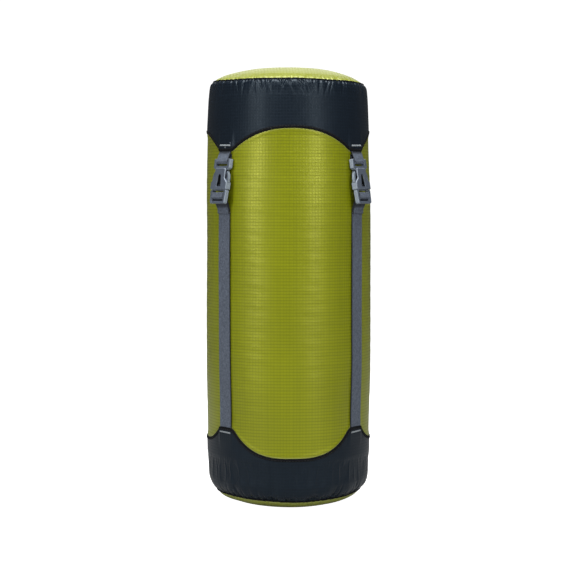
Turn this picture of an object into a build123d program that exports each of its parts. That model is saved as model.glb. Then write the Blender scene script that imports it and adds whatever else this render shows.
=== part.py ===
from build123d import *
from math import cos, radians, sin
import os

# A compression sack, stuffed and standing on its base, with its lid strapped down.
# Millimetres. +Z is up, the front faces -Y, and the origin is the centre of the base on the floor.
# The cloth parts are plain closed solids with the outer shape of the real cloth.

# Whole sack
HEIGHT = 448.0
TUBE_RADIUS = 83.6  # the bag where it bulges between its two yokes
NECK_RADIUS = 81.8  # the bag where a yoke covers it
WALL = 1.2
CLOTH = 0.9
LAYER_GAP = 0.05  # between two layers that are sewn flat together
SWELL_RUN = 14.0  # how far from a strap tip the bag reaches its full radius
SIDE_SEAM = (6.0, 0.7, 15.0)  # lap in degrees, thickness, and distance from the strap tips
BACK = 180.0

# Yokes: the dark bands at the two ends, each with a scalloped edge
YOKE_RADIUS = 84.45
YOKE_INNER = YOKE_RADIUS - CLOTH
STRAP_ANGLE = 51.0  # each strap's angle from the front or the back
TIP_HALF_ANGLE = 6.5
BASE_TIP = 81.8
LID_TIP = 361.5
FRONT_HALF_GAP = STRAP_ANGLE - TIP_HALF_ANGLE
SIDE_HALF_GAP = 90.0 - STRAP_ANGLE - TIP_HALF_ANGLE
BASE_SCALLOPS = {"front": 27.6, "side": 15.0}
LID_SCALLOPS = {"front": 19.5, "side": 20.0}
BINDING = 2.2
BINDING_THICK = 0.6

# Base and lid ends
BASE_FLAT = 50.0
BASE_SEAM = (75.0, 9.5)
BASE_CORNER = 20.0
LID_SEAM = (77.0, 433.5)
LID_CORNER = 8.0
PIPING = 1.0
EDGE_TURN = 0.8  # how far a round panel's cut edge is turned in at its seam

# Mouth of the bag, gathered under the lid
NECK_TOP = 422.5
BODY_GAP = 0.3  # between two bodies that move apart
MOUTH_RADIUS = 15.3
CHANNEL_RADIUS = 18.5
CHANNEL_HEIGHT = 431.6
CHANNEL_SIZE = (3.2, 2.2)
EYELET_ANGLES = (-20.0, 20.0)
EYELET_HOLE = 1.1
EYELET_BARREL = 1.55
EYELET_FLANGE = (2.4, 0.5)
EYELET_LENGTH = 1.6
EYELET_ROOM = 0.05

# Webbing
WEB_WIDTH = 17.6
WEB = 1.0
STRAP_TOP = 299.7
TACK_SIZE = (15.6, 0.8, 1.3)
TACK_DROP = 4.6
LID_TACK_RISE = 5.2
STRAP_TUCK = 14.0  # the length of each strap under the base yoke's tip
STRAP_GAP = 0.15  # between a strap and the bag
STRAP_BEND = 6.0
LOOP_TUCK = 10.0
LOOP_BEND = 0.7

# Side-release buckles, in their own frame: X across, Y towards the sack, Z up along the buckle,
# from the middle of the top edge of the socket
BUCKLE_TILT = 10.0
BUCKLE_TOP = (86.3, 352.8)
BUCKLE_WIDTH = 24.4
SOCKET_LENGTH = 31.0
SOCKET_THICK = 6.4
SOCKET_TOP_THICK = 4.4
SOCKET_CAVITY = (21.4, 3.6, 19.5)
WAIST = 15.6
COLLAR = 7.0
SHOULDER = 11.4  # down to where the frame narrows to the waist
WINDOW = [(2.3, -15.8), (3.8, -28.2)]
SLOT_WIDTH = 18.2
SLOT_MOUTH = 1.6
WEB_SLOT = 3.7
FRAME_BAR = 2.2  # the bar that a lid loop goes round: its thickness, and its middle below the top edge
FRAME_BAR_DROP = 2.6
PLUG_THICK = 4.6
PLUG_LENGTH = 13.9
PLUG_GAP = 0.3
PLUG_BAR = 2.6  # the thickness of the bar that a strap turns round
UPPER_SLOT = (0.6, 3.4)  # each slot's distance from the plug's top edge, and its height
LOWER_SLOT = (7.0, 4.4)
LOW_BAR = 3.2
PLATE = (20.6, 3.2, 3.3)
GUIDE = (4.4, 2.6, 3.0)
PLAN_ROUND = 0.8
EDGE_ROUND = 0.6
PLUG_ROUND = (1.6, 0.9)
OVERLAP = 0.6  # how far joined blocks of one moulding run into each other
ARM_THICK = 3.0
ARM_PIVOT = (7.9, -30.0)
KNUCKLE = 1.15
POCKET = 1.3
POCKET_SLOT = (4.6, 4.2)

STRAP_ANGLES = {1: -STRAP_ANGLE, 2: STRAP_ANGLE, 3: BACK - STRAP_ANGLE, 4: BACK + STRAP_ANGLE}


def section(*edges):
    """A closed face in the XZ plane from edges given as radius and height."""
    return Plane.XZ * make_face(list(edges))


def turned(face):
    return revolve(face, Axis.Z)


def ring(radius, height, size):
    """A solid ring of round section."""
    return Pos(0, 0, height) * Torus(radius, size)


def band(points, radii, width, thick=WEB):
    """Flat webbing that follows points in the YZ plane and runs width wide along X."""
    path = FilletPolyline(*points, radius=radii)
    outline = offset(path, amount=thick / 2, side=Side.BOTH)
    return extrude(Plane.YZ * make_face(outline.edges()), width / 2, both=True)


def at_strap(shape, number):
    return Rot(0, 0, STRAP_ANGLES[number]) * shape


def on_buckle(shape):
    """Moves a shape from the buckle's own frame to the front of the sack."""
    radius, height = BUCKLE_TOP
    return Pos(0, -radius, height) * Rot(-BUCKLE_TILT, 0, 0) * shape


def buckle_point(across, inward, up):
    """A point of the buckle's own frame as (y, z) at the front of the sack."""
    tilt = radians(BUCKLE_TILT)
    radius, height = BUCKLE_TOP
    y = -radius + inward * cos(tilt) + up * sin(tilt)
    z = height - inward * sin(tilt) + up * cos(tilt)
    return (y, z)


# Yokes


def scallops(tip, depths, way, shift=0.0):
    """The cloth cut away between the strap tips: four prisms whose curved ends face the yoke.
    way is -1 where the cut bites down from the tips, and 1 where it bites up."""
    gaps = [(0, FRONT_HALF_GAP, "front"), (90, SIDE_HALF_GAP, "side"),
            (180, FRONT_HALF_GAP, "front"), (270, SIDE_HALF_GAP, "side")]
    reach = 2 * YOKE_RADIUS
    prisms = []
    for angle, half_gap, side in gaps:
        x = YOKE_RADIUS * sin(radians(half_gap)) + abs(shift)
        start = tip + way * shift
        bite = start + way * depths[side]
        far = start - way * reach
        arc = ThreePointArc((-x, start), (0, bite), (x, start))
        sides = Polyline((x, start), (x, far), (-x, far), (-x, start))
        prism = extrude(Plane.XZ * make_face([arc, *sides.edges()]), reach)
        prisms.append(Rot(0, 0, angle) * prism)
    return prisms


def beyond(tip, way):
    """Everything past the tips of a yoke, on the side that its scallops open to."""
    size = 4 * YOKE_RADIUS
    return Pos(0, 0, tip - way * size / 2) * Box(size, size, size)


def yoke_line(tip, seam, corner, radius, way):
    """A yoke's wall in section: straight from its tip, then one arc round the corner to the seam."""
    bend = (radius, seam[1] - way * corner)
    return Line((radius, tip), bend), TangentArc(bend, seam, tangent=(0, way))


def yoke(tip, seam, corner, depths, way):
    """A band of cloth from the seam, round the corner and along the wall to its scalloped edge."""
    inner_seam = (seam[0] - CLOTH, seam[1] - way * CLOTH / 2)
    profile = section(
        *yoke_line(tip, seam, corner, YOKE_RADIUS, way),
        *yoke_line(tip, inner_seam, corner, YOKE_INNER, way),
        Line(seam, inner_seam),
        Line((YOKE_INNER, tip), (YOKE_RADIUS, tip)),
    )
    shape = turned(profile)
    for prism in scallops(tip, depths, way):
        shape -= prism
    return shape


def yoke_binding(tip, depths, way):
    """The narrow tape that covers a yoke's scalloped edge."""
    deep = depths["front"] + 2 * BINDING
    low, high = sorted((tip, tip + way * deep))
    inner = YOKE_RADIUS + LAYER_GAP
    outer = inner + BINDING_THICK
    tape = Pos(0, 0, low) * (
        extrude(Circle(outer), high - low) - extrude(Circle(inner), high - low)
    )
    for prism in scallops(tip, depths, way):
        tape -= prism
    keep = beyond(tip + way * BINDING, way)
    for prism in scallops(tip, depths, way, shift=BINDING):
        keep += prism
    return tape & keep


def bar_tacks(height):
    """Four dense bars of stitching, one at each strap, seen on the outside of a yoke's tip."""
    long, deep, tall = TACK_SIZE
    tack = Pos(0, -YOKE_RADIUS - 2 * LAYER_GAP - deep / 2, height) * Box(long, deep, tall)
    return Compound(children=[at_strap(tack, n) for n in STRAP_ANGLES])


# Bag


def base_disc():
    """The round bottom panel: flat where it rests on the floor, curving up to the seam."""
    flat, top_flat = (BASE_FLAT, 0), (BASE_FLAT, WALL)
    edge = (BASE_SEAM[0] - CLOTH, BASE_SEAM[1] - EDGE_TURN)
    top_edge = (edge[0] - EDGE_TURN, edge[1] + CLOTH)
    return turned(section(
        Line((0, 0), flat),
        TangentArc(flat, edge, tangent=(1, 0)),
        Line(edge, top_edge),
        TangentArc(top_flat, top_edge, tangent=(1, 0)),
        Line(top_flat, (0, WALL)),
        Line((0, WALL), (0, 0)),
    ))


def tube_line(inset):
    """Radius and height along the bag's wall, from the base seam to the neck, moved inwards by inset."""
    seam_radius, seam_height = BASE_SEAM
    low = (seam_radius - 2.6 - 0.8 * inset, seam_height + 1.6 + 0.6 * inset)
    wall = (NECK_RADIUS - inset, seam_height + BASE_CORNER)
    swell = (TUBE_RADIUS - inset, BASE_TIP + SWELL_RUN)
    shrink = (TUBE_RADIUS - inset, LID_TIP - SWELL_RUN)
    edges = [
        TangentArc(wall, low, tangent=(0, -1)),
        Line(wall, (NECK_RADIUS - inset, BASE_TIP + 2)),
        Line((NECK_RADIUS - inset, BASE_TIP + 2), swell),
        Line(swell, shrink),
        Line(shrink, (NECK_RADIUS - inset, LID_TIP - 5)),
        Line((NECK_RADIUS - inset, LID_TIP - 5), (NECK_RADIUS - inset, NECK_TOP)),
    ]
    return edges, low, (NECK_RADIUS - inset, NECK_TOP)


def body_tube():
    outer, outer_low, outer_top = tube_line(0)
    inner, inner_low, inner_top = tube_line(WALL)
    ends = [Line(outer_low, inner_low), Line(outer_top, inner_top)]
    return turned(section(*outer, *inner, *ends))


def body_side_seam():
    """The lapped seam that closes the bag's wall, down the middle of the back."""
    lap, thick, margin = SIDE_SEAM
    low, high = BASE_TIP + margin, LID_TIP - margin
    strip = Pos(TUBE_RADIUS + LAYER_GAP + thick / 2, 0) * Rectangle(thick, high - low)
    face = Plane.XZ * Pos(0, (low + high) / 2) * strip
    return Rot(0, 0, 90 - lap / 2) * revolve(face, Axis.Z, lap)


def strap():
    """The fixed part of one strap, from under the base yoke's tip up to the plug's adjuster."""
    low = -(NECK_RADIUS + 2 * STRAP_GAP + WEB / 2)
    out = -(TUBE_RADIUS + STRAP_GAP + WEB / 2)
    end = STRAP_TOP - WEB / 2
    start, clear = BASE_TIP - STRAP_TUCK, BASE_TIP + SWELL_RUN + 1
    points = [(low, start), (low, BASE_TIP + 1), (out, clear), (out, end)]
    return band(points, STRAP_BEND, WEB_WIDTH)


# Gathered mouth


def neck_collar():
    """The cloth of the mouth, drawn in over the contents to a small hole."""
    rim = (NECK_RADIUS, NECK_TOP + BODY_GAP)
    shoulder = (NECK_RADIUS - 1.6, NECK_TOP + 3.6)
    flat = (NECK_RADIUS - 6, NECK_TOP + 5.2)
    mouth = (MOUTH_RADIUS + 6.6, CHANNEL_HEIGHT - 0.4)
    low_mouth = (mouth[0], mouth[1] - CLOTH)
    low_flat = (flat[0] - 0.2, flat[1] - CLOTH)
    low_shoulder = (shoulder[0] - 0.7, shoulder[1] - 0.6)
    low_rim = (rim[0] - CLOTH, rim[1])
    return turned(section(
        ThreePointArc(rim, shoulder, flat),
        Line(flat, mouth),
        Line(mouth, low_mouth),
        Line(low_mouth, low_flat),
        ThreePointArc(low_flat, low_shoulder, low_rim),
        Line(low_rim, rim),
    ))


def eyelet_place(angle):
    """The eyelet's frame: in the channel's wall, with Z pointing up and away from the mouth."""
    middle = sum(CHANNEL_SIZE) / 2
    return Rot(0, 0, angle) * Pos(0, -CHANNEL_RADIUS, CHANNEL_HEIGHT) * Rot(45, 0, 0) * Pos(0, 0, middle)


def drawcord_channel():
    """The hem round the mouth, hollow for a drawcord, with a hole for each eyelet."""
    outer, inner = CHANNEL_SIZE
    hem = ring(CHANNEL_RADIUS, CHANNEL_HEIGHT, outer) - ring(CHANNEL_RADIUS, CHANNEL_HEIGHT, inner)
    for angle in EYELET_ANGLES:
        hem -= eyelet_place(angle) * Cylinder(EYELET_BARREL + EYELET_ROOM, 2 * (outer - inner))
    return hem


def eyelet(angle):
    """A rolled metal eyelet: a short tube with a flange on the outside of the hem."""
    flange, thick = EYELET_FLANGE
    tube = Cylinder(EYELET_BARREL, EYELET_LENGTH) - Cylinder(EYELET_HOLE, EYELET_LENGTH)
    lip = Cylinder(flange, thick) - Cylinder(EYELET_HOLE, thick)
    return eyelet_place(angle) * (tube + Pos(0, 0, EYELET_LENGTH / 2) * lip)


# Lid


def lid_disc():
    """The round top panel, crowned by the contents under it."""
    edge = (LID_SEAM[0] - 0.9, LID_SEAM[1] + 0.4)
    low_edge = (edge[0], edge[1] - WALL)
    crown, low_crown = (0, HEIGHT), (0, HEIGHT - WALL)
    return turned(section(
        TangentArc(crown, edge, tangent=(1, 0)),
        Line(edge, low_edge),
        TangentArc(low_crown, low_edge, tangent=(1, 0)),
        Line(low_crown, crown),
    ))


def lid_loop():
    """The short webbing that joins one tip of the lid to the bar of its buckle socket."""
    inside = -(NECK_RADIUS + 2 * STRAP_GAP + WEB / 2)
    front = buckle_point(0, -2.1, -2.4)
    under = buckle_point(0, -1.2, -4.7)
    behind = buckle_point(0, 1.9, -4.3)
    back = buckle_point(0, 1.9, -1.0)
    points = [(inside, LID_TIP + LOOP_TUCK), (inside, LID_TIP - 0.5), front, under, behind, back,
              (inside - 0.6, LID_TIP - 4.5)]
    return band(points, LOOP_BEND, WEB_WIDTH)


# Buckles


def mirrored_outline(points, corner):
    """A plan drawn on the right half, closed by its mirror image, with rounded corners."""
    left = [(-x, z) for x, z in reversed(points)]
    plan = Polyline(*points, *left, close=True)
    face = make_face(plan)
    return fillet(face.vertices(), corner)


def rounded_plate(plan, thick, edge):
    """A plan drawn in XZ, made thick both ways, with the edges of its two faces rounded."""
    plate = extrude(Plane.XZ * plan, thick / 2, both=True)
    rims = plate.edges().group_by(Axis.Y)
    return fillet(rims[0] + rims[-1], edge)


def slot(width, height, top):
    """A prism for cutting a slot through a buckle, from its top edge down."""
    return Pos(0, 0, top - height / 2) * Box(width, 4 * SOCKET_THICK, height)


def bar_relief(thick, middle, height):
    """Two blocks that thin a bar to the given thickness, from its front and its back."""
    block = Box(SLOT_WIDTH, SOCKET_THICK, height)
    offset_y = (thick + SOCKET_THICK) / 2
    return Pos(0, -offset_y, middle) * block + Pos(0, offset_y, middle) * block


def buckle_socket():
    """The female half: two plates joined by a frame above and a collar below, open at both sides."""
    half, waist = BUCKLE_WIDTH / 2, WAIST / 2
    collar_top = COLLAR - SOCKET_LENGTH
    frame_plan = mirrored_outline([(half, 0), (half, -9.2), (waist, -SHOULDER), (waist, -16)], PLAN_ROUND)
    body_plan = mirrored_outline([
        (waist - OVERLAP, -9.4),
        (waist, -SHOULDER),
        (waist, collar_top + 4.4),
        (half, collar_top),
        (half, -SOCKET_LENGTH),
    ], PLAN_ROUND)
    body = rounded_plate(frame_plan, SOCKET_TOP_THICK, EDGE_ROUND)
    body += rounded_plate(body_plan, SOCKET_THICK, PLAN_ROUND)
    wide, gap, deep = SOCKET_CAVITY
    body -= Pos(0, 0, deep / 2 - SOCKET_LENGTH - 0.5) * Box(wide, gap, deep + 1)
    wing_room = deep - COLLAR
    body -= Pos(0, 0, collar_top + wing_room / 2) * Box(2 * BUCKLE_WIDTH, gap, wing_room)
    body -= slot(SLOT_WIDTH, WEB_SLOT, SLOT_MOUTH - 2 * FRAME_BAR_DROP)
    body -= slot(SLOT_WIDTH, SLOT_MOUTH, 0)
    body -= bar_relief(FRAME_BAR, -FRAME_BAR_DROP, 2.2)
    window = mirrored_outline(WINDOW, PLAN_ROUND)
    body -= extrude(Plane.XZ * window, SOCKET_THICK, both=True)
    return body


def buckle_plug():
    """The male half: a ladder frame for the strap, the plate that enters the socket and its guide."""
    top = -SOCKET_LENGTH - PLUG_GAP
    half = BUCKLE_WIDTH / 2
    low = top - PLUG_LENGTH
    plan_round, edge_round = PLUG_ROUND
    plan = mirrored_outline([(half, top), (half - 0.5, low + 4), (half - 0.9, low)], plan_round)
    frame = rounded_plate(plan, PLUG_THICK, edge_round)
    upper, lower = top - UPPER_SLOT[0], top - LOWER_SLOT[0]
    frame -= slot(SLOT_WIDTH, UPPER_SLOT[1], upper)
    frame -= slot(SLOT_WIDTH, LOWER_SLOT[1], lower)
    bar_height = upper - UPPER_SLOT[1] - lower
    frame -= bar_relief(PLUG_BAR, lower + bar_height / 2, bar_height + 0.2)
    frame -= bar_relief(LOW_BAR, low, 5.2)
    wide, thick, tall = PLATE
    plate = Pos(0, 0, upper + tall / 2) * Box(wide, thick, tall + OVERLAP)
    guide_wide, guide_thick, guide_tall = GUIDE
    guide = Pos(0, 0, upper + tall + guide_tall / 2) * Box(guide_wide, guide_thick, guide_tall)
    guide = fillet(guide.edges().group_by(Axis.Z)[-1], PLAN_ROUND)
    pivot, pivot_up = ARM_PIVOT
    slot_wide, slot_tall = POCKET_SLOT
    for way in (-1, 1):
        plate -= Pos(way * pivot, 0, pivot_up) * Rot(90, 0, 0) * Cylinder(POCKET, 2 * PLUG_THICK)
        pocket = Box(slot_wide, 2 * PLUG_THICK, slot_tall)
        plate -= Pos(way * (pivot + 0.9), 0, pivot_up + slot_tall / 2) * pocket
    return frame + plate + guide


def latch_arm(way):
    """One springy arm of the plug: a knuckle at its root, a thin beam and a barbed wing. way -1 is left."""
    pivot, pivot_up = ARM_PIVOT
    outline = [
        (7.2, pivot_up), (8.5, -27.4), (8.9, -23.6), (9.8, -20.5), (9.6, -16.8), (8.5, -13.4),
        (9.5, -12.5), (11.5, -15.8), (12.2, -20.0), (11.9, -23.5), (10.3, -23.8), (10.1, -27.6),
        (8.6, pivot_up),
    ]
    beam = extrude(Plane.XZ * make_face(Polyline(*outline, close=True)), ARM_THICK / 2, both=True)
    knuckle = Pos(pivot, 0, pivot_up) * Rot(90, 0, 0) * Cylinder(KNUCKLE, ARM_THICK)
    arm = beam + knuckle
    return arm if way > 0 else mirror(arm, Plane.YZ)


def strap_end():
    """The top of one strap: up behind the plug, round its middle bar and down to a hemmed tail."""
    out = -(TUBE_RADIUS + STRAP_GAP + WEB / 2)
    top = -SOCKET_LENGTH - PLUG_GAP
    bar_top, bar_low = top - 3.9, top - 7.1
    points = [
        (out, STRAP_TOP + BODY_GAP + WEB / 2),
        (out - 0.5, STRAP_TOP + 3.4),
        buckle_point(0, 2.1, bar_low + 0.6),
        buckle_point(0, 2.0, bar_top + 0.9),
        buckle_point(0, -2.0, bar_top + 0.9),
        buckle_point(0, -2.0, bar_low - 0.8),
        buckle_point(0, 2.6, bar_low - 4.2),
        (out - 2.6, STRAP_TOP + 4.2),
    ]
    return band(points, LOOP_BEND, WEB_WIDTH)


# The nodes

NODES = {
    "base_disc": base_disc(),
    "base_piping": ring(BASE_SEAM[0] + 0.9, BASE_SEAM[1] - 1.4, PIPING),
    "base_yoke": yoke(BASE_TIP, BASE_SEAM, BASE_CORNER, BASE_SCALLOPS, -1),
    "base_yoke_binding": yoke_binding(BASE_TIP, BASE_SCALLOPS, -1),
    "base_bar_tacks": bar_tacks(BASE_TIP - TACK_DROP),
    "body_tube": body_tube(),
    "body_side_seam": body_side_seam(),
    "neck_collar": neck_collar(),
    "drawcord_channel": drawcord_channel(),
    "lid_disc": lid_disc(),
    "lid_piping": ring(LID_SEAM[0] + 0.2, LID_SEAM[1] + 1.1, PIPING),
    "lid_yoke": yoke(LID_TIP, LID_SEAM, LID_CORNER, LID_SCALLOPS, 1),
    "lid_yoke_binding": yoke_binding(LID_TIP, LID_SCALLOPS, 1),
    "lid_bar_tacks": bar_tacks(LID_TIP + LID_TACK_RISE),
}
for number, angle in enumerate(EYELET_ANGLES, 1):
    NODES[f"eyelet_{number}"] = eyelet(angle)

strap_shape = strap()
loop_shape = lid_loop()
socket_shape = on_buckle(buckle_socket())
plug_shape = on_buckle(buckle_plug())
end_shape = strap_end()
arm_shapes = {"left": on_buckle(latch_arm(-1)), "right": on_buckle(latch_arm(1))}
for number in STRAP_ANGLES:
    NODES[f"strap_{number}"] = at_strap(strap_shape, number)
    NODES[f"lid_loop_{number}"] = at_strap(loop_shape, number)
    NODES[f"buckle_socket_{number}"] = at_strap(socket_shape, number)
    NODES[f"buckle_plug_{number}"] = at_strap(plug_shape, number)
    NODES[f"strap_end_{number}"] = at_strap(end_shape, number)
    for side, arm_shape in arm_shapes.items():
        NODES[f"latch_arm_{side}_{number}"] = at_strap(arm_shape, number)

os.makedirs("parts", exist_ok=True)
for name, shape in NODES.items():
    export_step(shape, f"parts/{name}.step")
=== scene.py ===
from math import atan2, ceil, cos, hypot, pi, radians, sin, tau

import bmesh
import bpy
import numpy as np
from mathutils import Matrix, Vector


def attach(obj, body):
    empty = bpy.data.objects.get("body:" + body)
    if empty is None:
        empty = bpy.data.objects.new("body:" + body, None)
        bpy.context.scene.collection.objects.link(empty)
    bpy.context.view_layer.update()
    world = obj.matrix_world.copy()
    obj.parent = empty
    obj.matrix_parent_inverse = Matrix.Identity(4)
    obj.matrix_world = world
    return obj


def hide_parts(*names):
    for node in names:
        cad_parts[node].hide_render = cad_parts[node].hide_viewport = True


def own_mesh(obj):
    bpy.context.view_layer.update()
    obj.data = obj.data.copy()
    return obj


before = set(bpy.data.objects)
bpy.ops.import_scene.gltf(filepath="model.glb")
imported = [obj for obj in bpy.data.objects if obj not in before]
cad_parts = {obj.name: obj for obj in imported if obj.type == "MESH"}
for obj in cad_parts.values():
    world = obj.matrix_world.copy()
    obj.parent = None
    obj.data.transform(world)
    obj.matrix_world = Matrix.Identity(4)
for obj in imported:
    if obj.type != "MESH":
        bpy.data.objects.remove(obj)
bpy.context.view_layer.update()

# A stuffed compression sack: ripstop cloth between two dark yokes, a lid held down by four straps
# with side-release buckles. Geometry is worked out in millimetres and stored in metres.
# Angles go round from the front (-Y) towards +X.

MM = 0.001
SEED = 41

# Camera and light
CAMERA_ANGLE = -2.5
CAMERA_DISTANCE = 1.74
CAMERA_HEIGHT = 0.310
CAMERA_AIM = 0.2205
CAMERA_SIDE = -0.0005
LENS = 104.6
WORLD_GLOW = 0.11
FLOOR_GLOW = 0.05
SEEN_GLOW = 1.1  # how bright the floor and the surroundings look to the camera
FLOOR_HALF = 6000.0
FLOOR_TOP = -0.3
LIGHT_AIM = (0, 0, 0.22)

# Ends of the bag: (radius, height) of the outer cloth, from its seam
LID_SEAM = (77.2, 431.8)
LID_DISC_LINE = [LID_SEAM, (73.2, 435.0), (64.0, 439.4), (47.0, 444.1), (30.0, 446.6), (0.0, 447.5)]
LID_WALL_LINE = [LID_SEAM, (79.9, 429.6), (81.4, 425.4), (82.3, 416.0), (83.1, 400.0), (84.0, 375.0),
                 (84.2, 330.0)]
BASE_SEAM = (74.6, 11.2)
BASE_DISC_LINE = [BASE_SEAM, (72.0, 7.6), (67.0, 4.6), (58.0, 2.0), (44.0, 0.5), (30.0, 0.0), (0.0, 0.0)]
BASE_WALL_LINE = [BASE_SEAM, (79.7, 16.3), (82.5, 24.4), (83.6, 36.0), (84.5, 53.0), (84.8, 75.0),
                  (84.6, 120.0)]

DRIFT_REACH = 25.0  # inside a seam, the unevenness of the wall fades over this distance
SWAY_REACH = 28.0  # how far a seam's saddle and tilt reach either side of it
LID_FOLDS_FROM = 250.0  # the heights where the wall starts or stops following an end's folds
BASE_FOLDS_TO = 200.0

# Cloth simulation of the gathers beside each seam
SIM_COLUMNS = 480
SIM_DISC_ROWS = 16
SIM_WALL_ROWS = 28
SIM_FRAMES = 20
SIM_PRESSURE = 4.0
SIM_REACH = 1.8  # the rows go this many times as far as the extra cloth
SIM_CROWDING = 1.2
SIM_SEED_FOLDS = 0.5
SIM_MOST = 3.0
SIM_FINER = 4
SIM_INWARD = 1.1  # the contents hold the cloth out
STITCH_PUCKERS = 1.4  # the share of the small folds at the stitches that is added to the gathers

# Yokes
WALL_RADIUS = 84.0
STRAP_ANGLE = 51.0
STRAPS = {1: -STRAP_ANGLE, 2: STRAP_ANGLE, 3: 180 - STRAP_ANGLE, 4: 180 + STRAP_ANGLE}
TIP_HALF_ANGLE = 6.5
TIP_ROUNDING = 1.1
BASE_TIP = 81.8
LID_TIP = 361.5
BASE_TACKS = BASE_TIP - 4.4
LID_TACKS = LID_TIP + 5.2
BASE_SCALLOPS = {"front": (28.2, 3.0), "side": (15.0, 3.6)}  # how deep, and how square
LID_SCALLOPS = {"front": (22.4, 2.2), "side": (20.0, 2.1)}
CLOTH = 0.7
BINDING = 2.2
BINDING_THICK = 0.4
PIPING_RADIUS = 0.85

# Bag between the yokes
UNDER_GAP = 0.85  # from a yoke's outside to the bag's wall under it
RIPSTOP_PITCH = 3.1
MIDDLE_RADII = (85.5, 84.6)  # where it swells, at the base end and the lid end
HARD_EDGE = 0.05  # rows this close keep the shading smooth up to an edge
LOW_JOIN = 83.0
HIGH_JOIN = 360.0
BAG_LOW = 22.0
SEAM_LOW = 30.0
BAG_HIGH = 421.5

# Webbing and buckles
WEB_WIDTH = 17.6
WEB = 1.0
STRAP_TOP = 299.7
BUCKLE_TILT = radians(10)
BUCKLE_TOP = (86.3, 352.8)
SOCKET_LENGTH = 31.0
PLUG_GAP = 0.3

# Where the painted shade in a buckle's hollows, and on the webbing inside them, sets in: each pair runs from
# light to dark
RECESS_DEPTH = (-1.0, -0.3)  # inward from the buckle's middle plane
RECESS_SIDES = (8.6, 7.6)
RECESS_LOW_END = (303.0, 306.0)
SOCKET_RECESS = 1.3  # the socket's cavity starts this much nearer the front
SOCKET_LOW_END = (321.8, 322.6)
SOCKET_HIGH_END = (341.0, 340.0)

# Mouth
MOUTH_LINE = [(79.9, 419.0), (79.6, 422.6), (77.2, 425.6), (72.0, 427.2), (50.0, 429.2), (30.0, 431.0),
              (21.6, 431.2)]
PLEATS = 38
CHANNEL_RADIUS = 18.5
CHANNEL_HEIGHT = 431.6
CHANNEL_SIZE = 3.2
EYELET_ANGLES = (-20, 20)

# Colours, the painted highlights and shade, and the tints of the cloths' gloss
GREEN = (0.190, 0.213, 0.0020)
# painted highlight colour, for the lighter lines beside the yoke edges and the panel seams
GREEN_PAINTED_HIGHLIGHT = (0.44, 0.48, 0.14)
DARK = (0.0045, 0.0078, 0.0130)
BLACK = (0.0035, 0.004, 0.005)
SLATE = (0.092, 0.110, 0.144)
PALE_THREAD = (0.30, 0.33, 0.35)
DARK_THREAD = (0.008, 0.009, 0.011)
GREEN_THREAD = (0.20, 0.23, 0.03)
ACETAL = (0.070, 0.086, 0.114)
# painted highlight colour for a buckle's sides and edges
ACETAL_PAINTED_HIGHLIGHT = (0.30, 0.35, 0.42)
# painted shade colour for a buckle's hollows
SHADE = (0.004, 0.005, 0.006)
NICKEL = (0.52, 0.50, 0.46)
GREEN_GLOSS = (1.0, 1.0, 0.28, 1.0)
PANEL_GLOSS = (1.0, 1.0, 0.62, 1.0)
DARK_GLOSS = (0.72, 0.88, 1.0, 1.0)


# Small helpers


def smooth_step(value):
    """0 below 0, 1 above 1, and an even rise between."""
    value = np.clip(value, 0, 1)
    return value * value * (3 - 2 * value)


def wrapped(angle):
    """Angles in radians brought to -pi..pi."""
    return (angle + pi) % tau - pi


def smooth_curve(points, per_span=16):
    """Points along a Catmull-Rom curve through the given points."""
    p = np.array([points[0], *points, points[-1]], float)
    t = np.linspace(0, 1, per_span, endpoint=False)[:, None]
    spans = []
    for a, b, c, d in zip(p, p[1:], p[2:], p[3:]):
        spans.append(b + 0.5 * t * (c - a + t * (2 * a - 5 * b + 4 * c - d + t * (3 * (b - c) + d - a))))
    return np.vstack([*spans, p[-1:]])


def lengths_along(points):
    steps = np.linalg.norm(np.diff(points, axis=0), axis=1)
    return np.concatenate([[0], np.cumsum(steps)])


def around(count):
    """The angle of each column of a grid that goes round the bag."""
    return np.arange(count) * tau / count


def uneven_turns(rng, count, low, high):
    """Angles all the way round, with gaps that vary between low and high parts."""
    gaps = rng.uniform(low, high, count)
    return np.cumsum(gaps) / gaps.sum() * tau


def picked(rows, count):
    """The numbers of count rows, spread over a grid's rows and with both ends."""
    return np.linspace(0, rows - 1, count).astype(int)


def directions(path):
    """The unit direction at each point of a path."""
    step = np.gradient(path, axis=0)
    return step / np.linalg.norm(step, axis=1, keepdims=True)


def on_circle(angle, radius, height):
    """Points from angles round the bag, radii and heights."""
    return np.stack(np.broadcast_arrays(radius * np.sin(angle), -radius * np.cos(angle), height), axis=-1)


# Meshes


def add_object(name, data):
    obj = bpy.data.objects.new(name, data)
    bpy.context.scene.collection.objects.link(obj)
    return obj


def finish_mesh(name, points, faces, loop_uv=None, values=None, smooth=True, flat_faces=()):
    """An object from points in millimetres, with its faces turned outwards. flat_faces are numbers
    of faces that keep a hard edge."""
    mesh = bpy.data.meshes.new(name)
    mesh.from_pydata((np.asarray(points).reshape(-1, 3) * MM).tolist(), [], faces)
    if loop_uv is not None:
        layer = mesh.uv_layers.new(name="UVMap")
        layer.data.foreach_set("uv", np.asarray(loop_uv, np.float32).ravel())
    for key, data in (values or {}).items():
        attribute = mesh.attributes.new(key, "FLOAT", "POINT")
        attribute.data.foreach_set("value", np.asarray(data, np.float32).ravel())
    shaped = bmesh.new()
    shaped.from_mesh(mesh)
    bmesh.ops.recalc_face_normals(shaped, faces=shaped.faces)
    shaped.to_mesh(mesh)
    shaped.free()
    shading = np.full(len(mesh.polygons), smooth)
    shading[list(flat_faces)] = False
    mesh.polygons.foreach_set("use_smooth", shading)
    return add_object(name, mesh)


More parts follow.
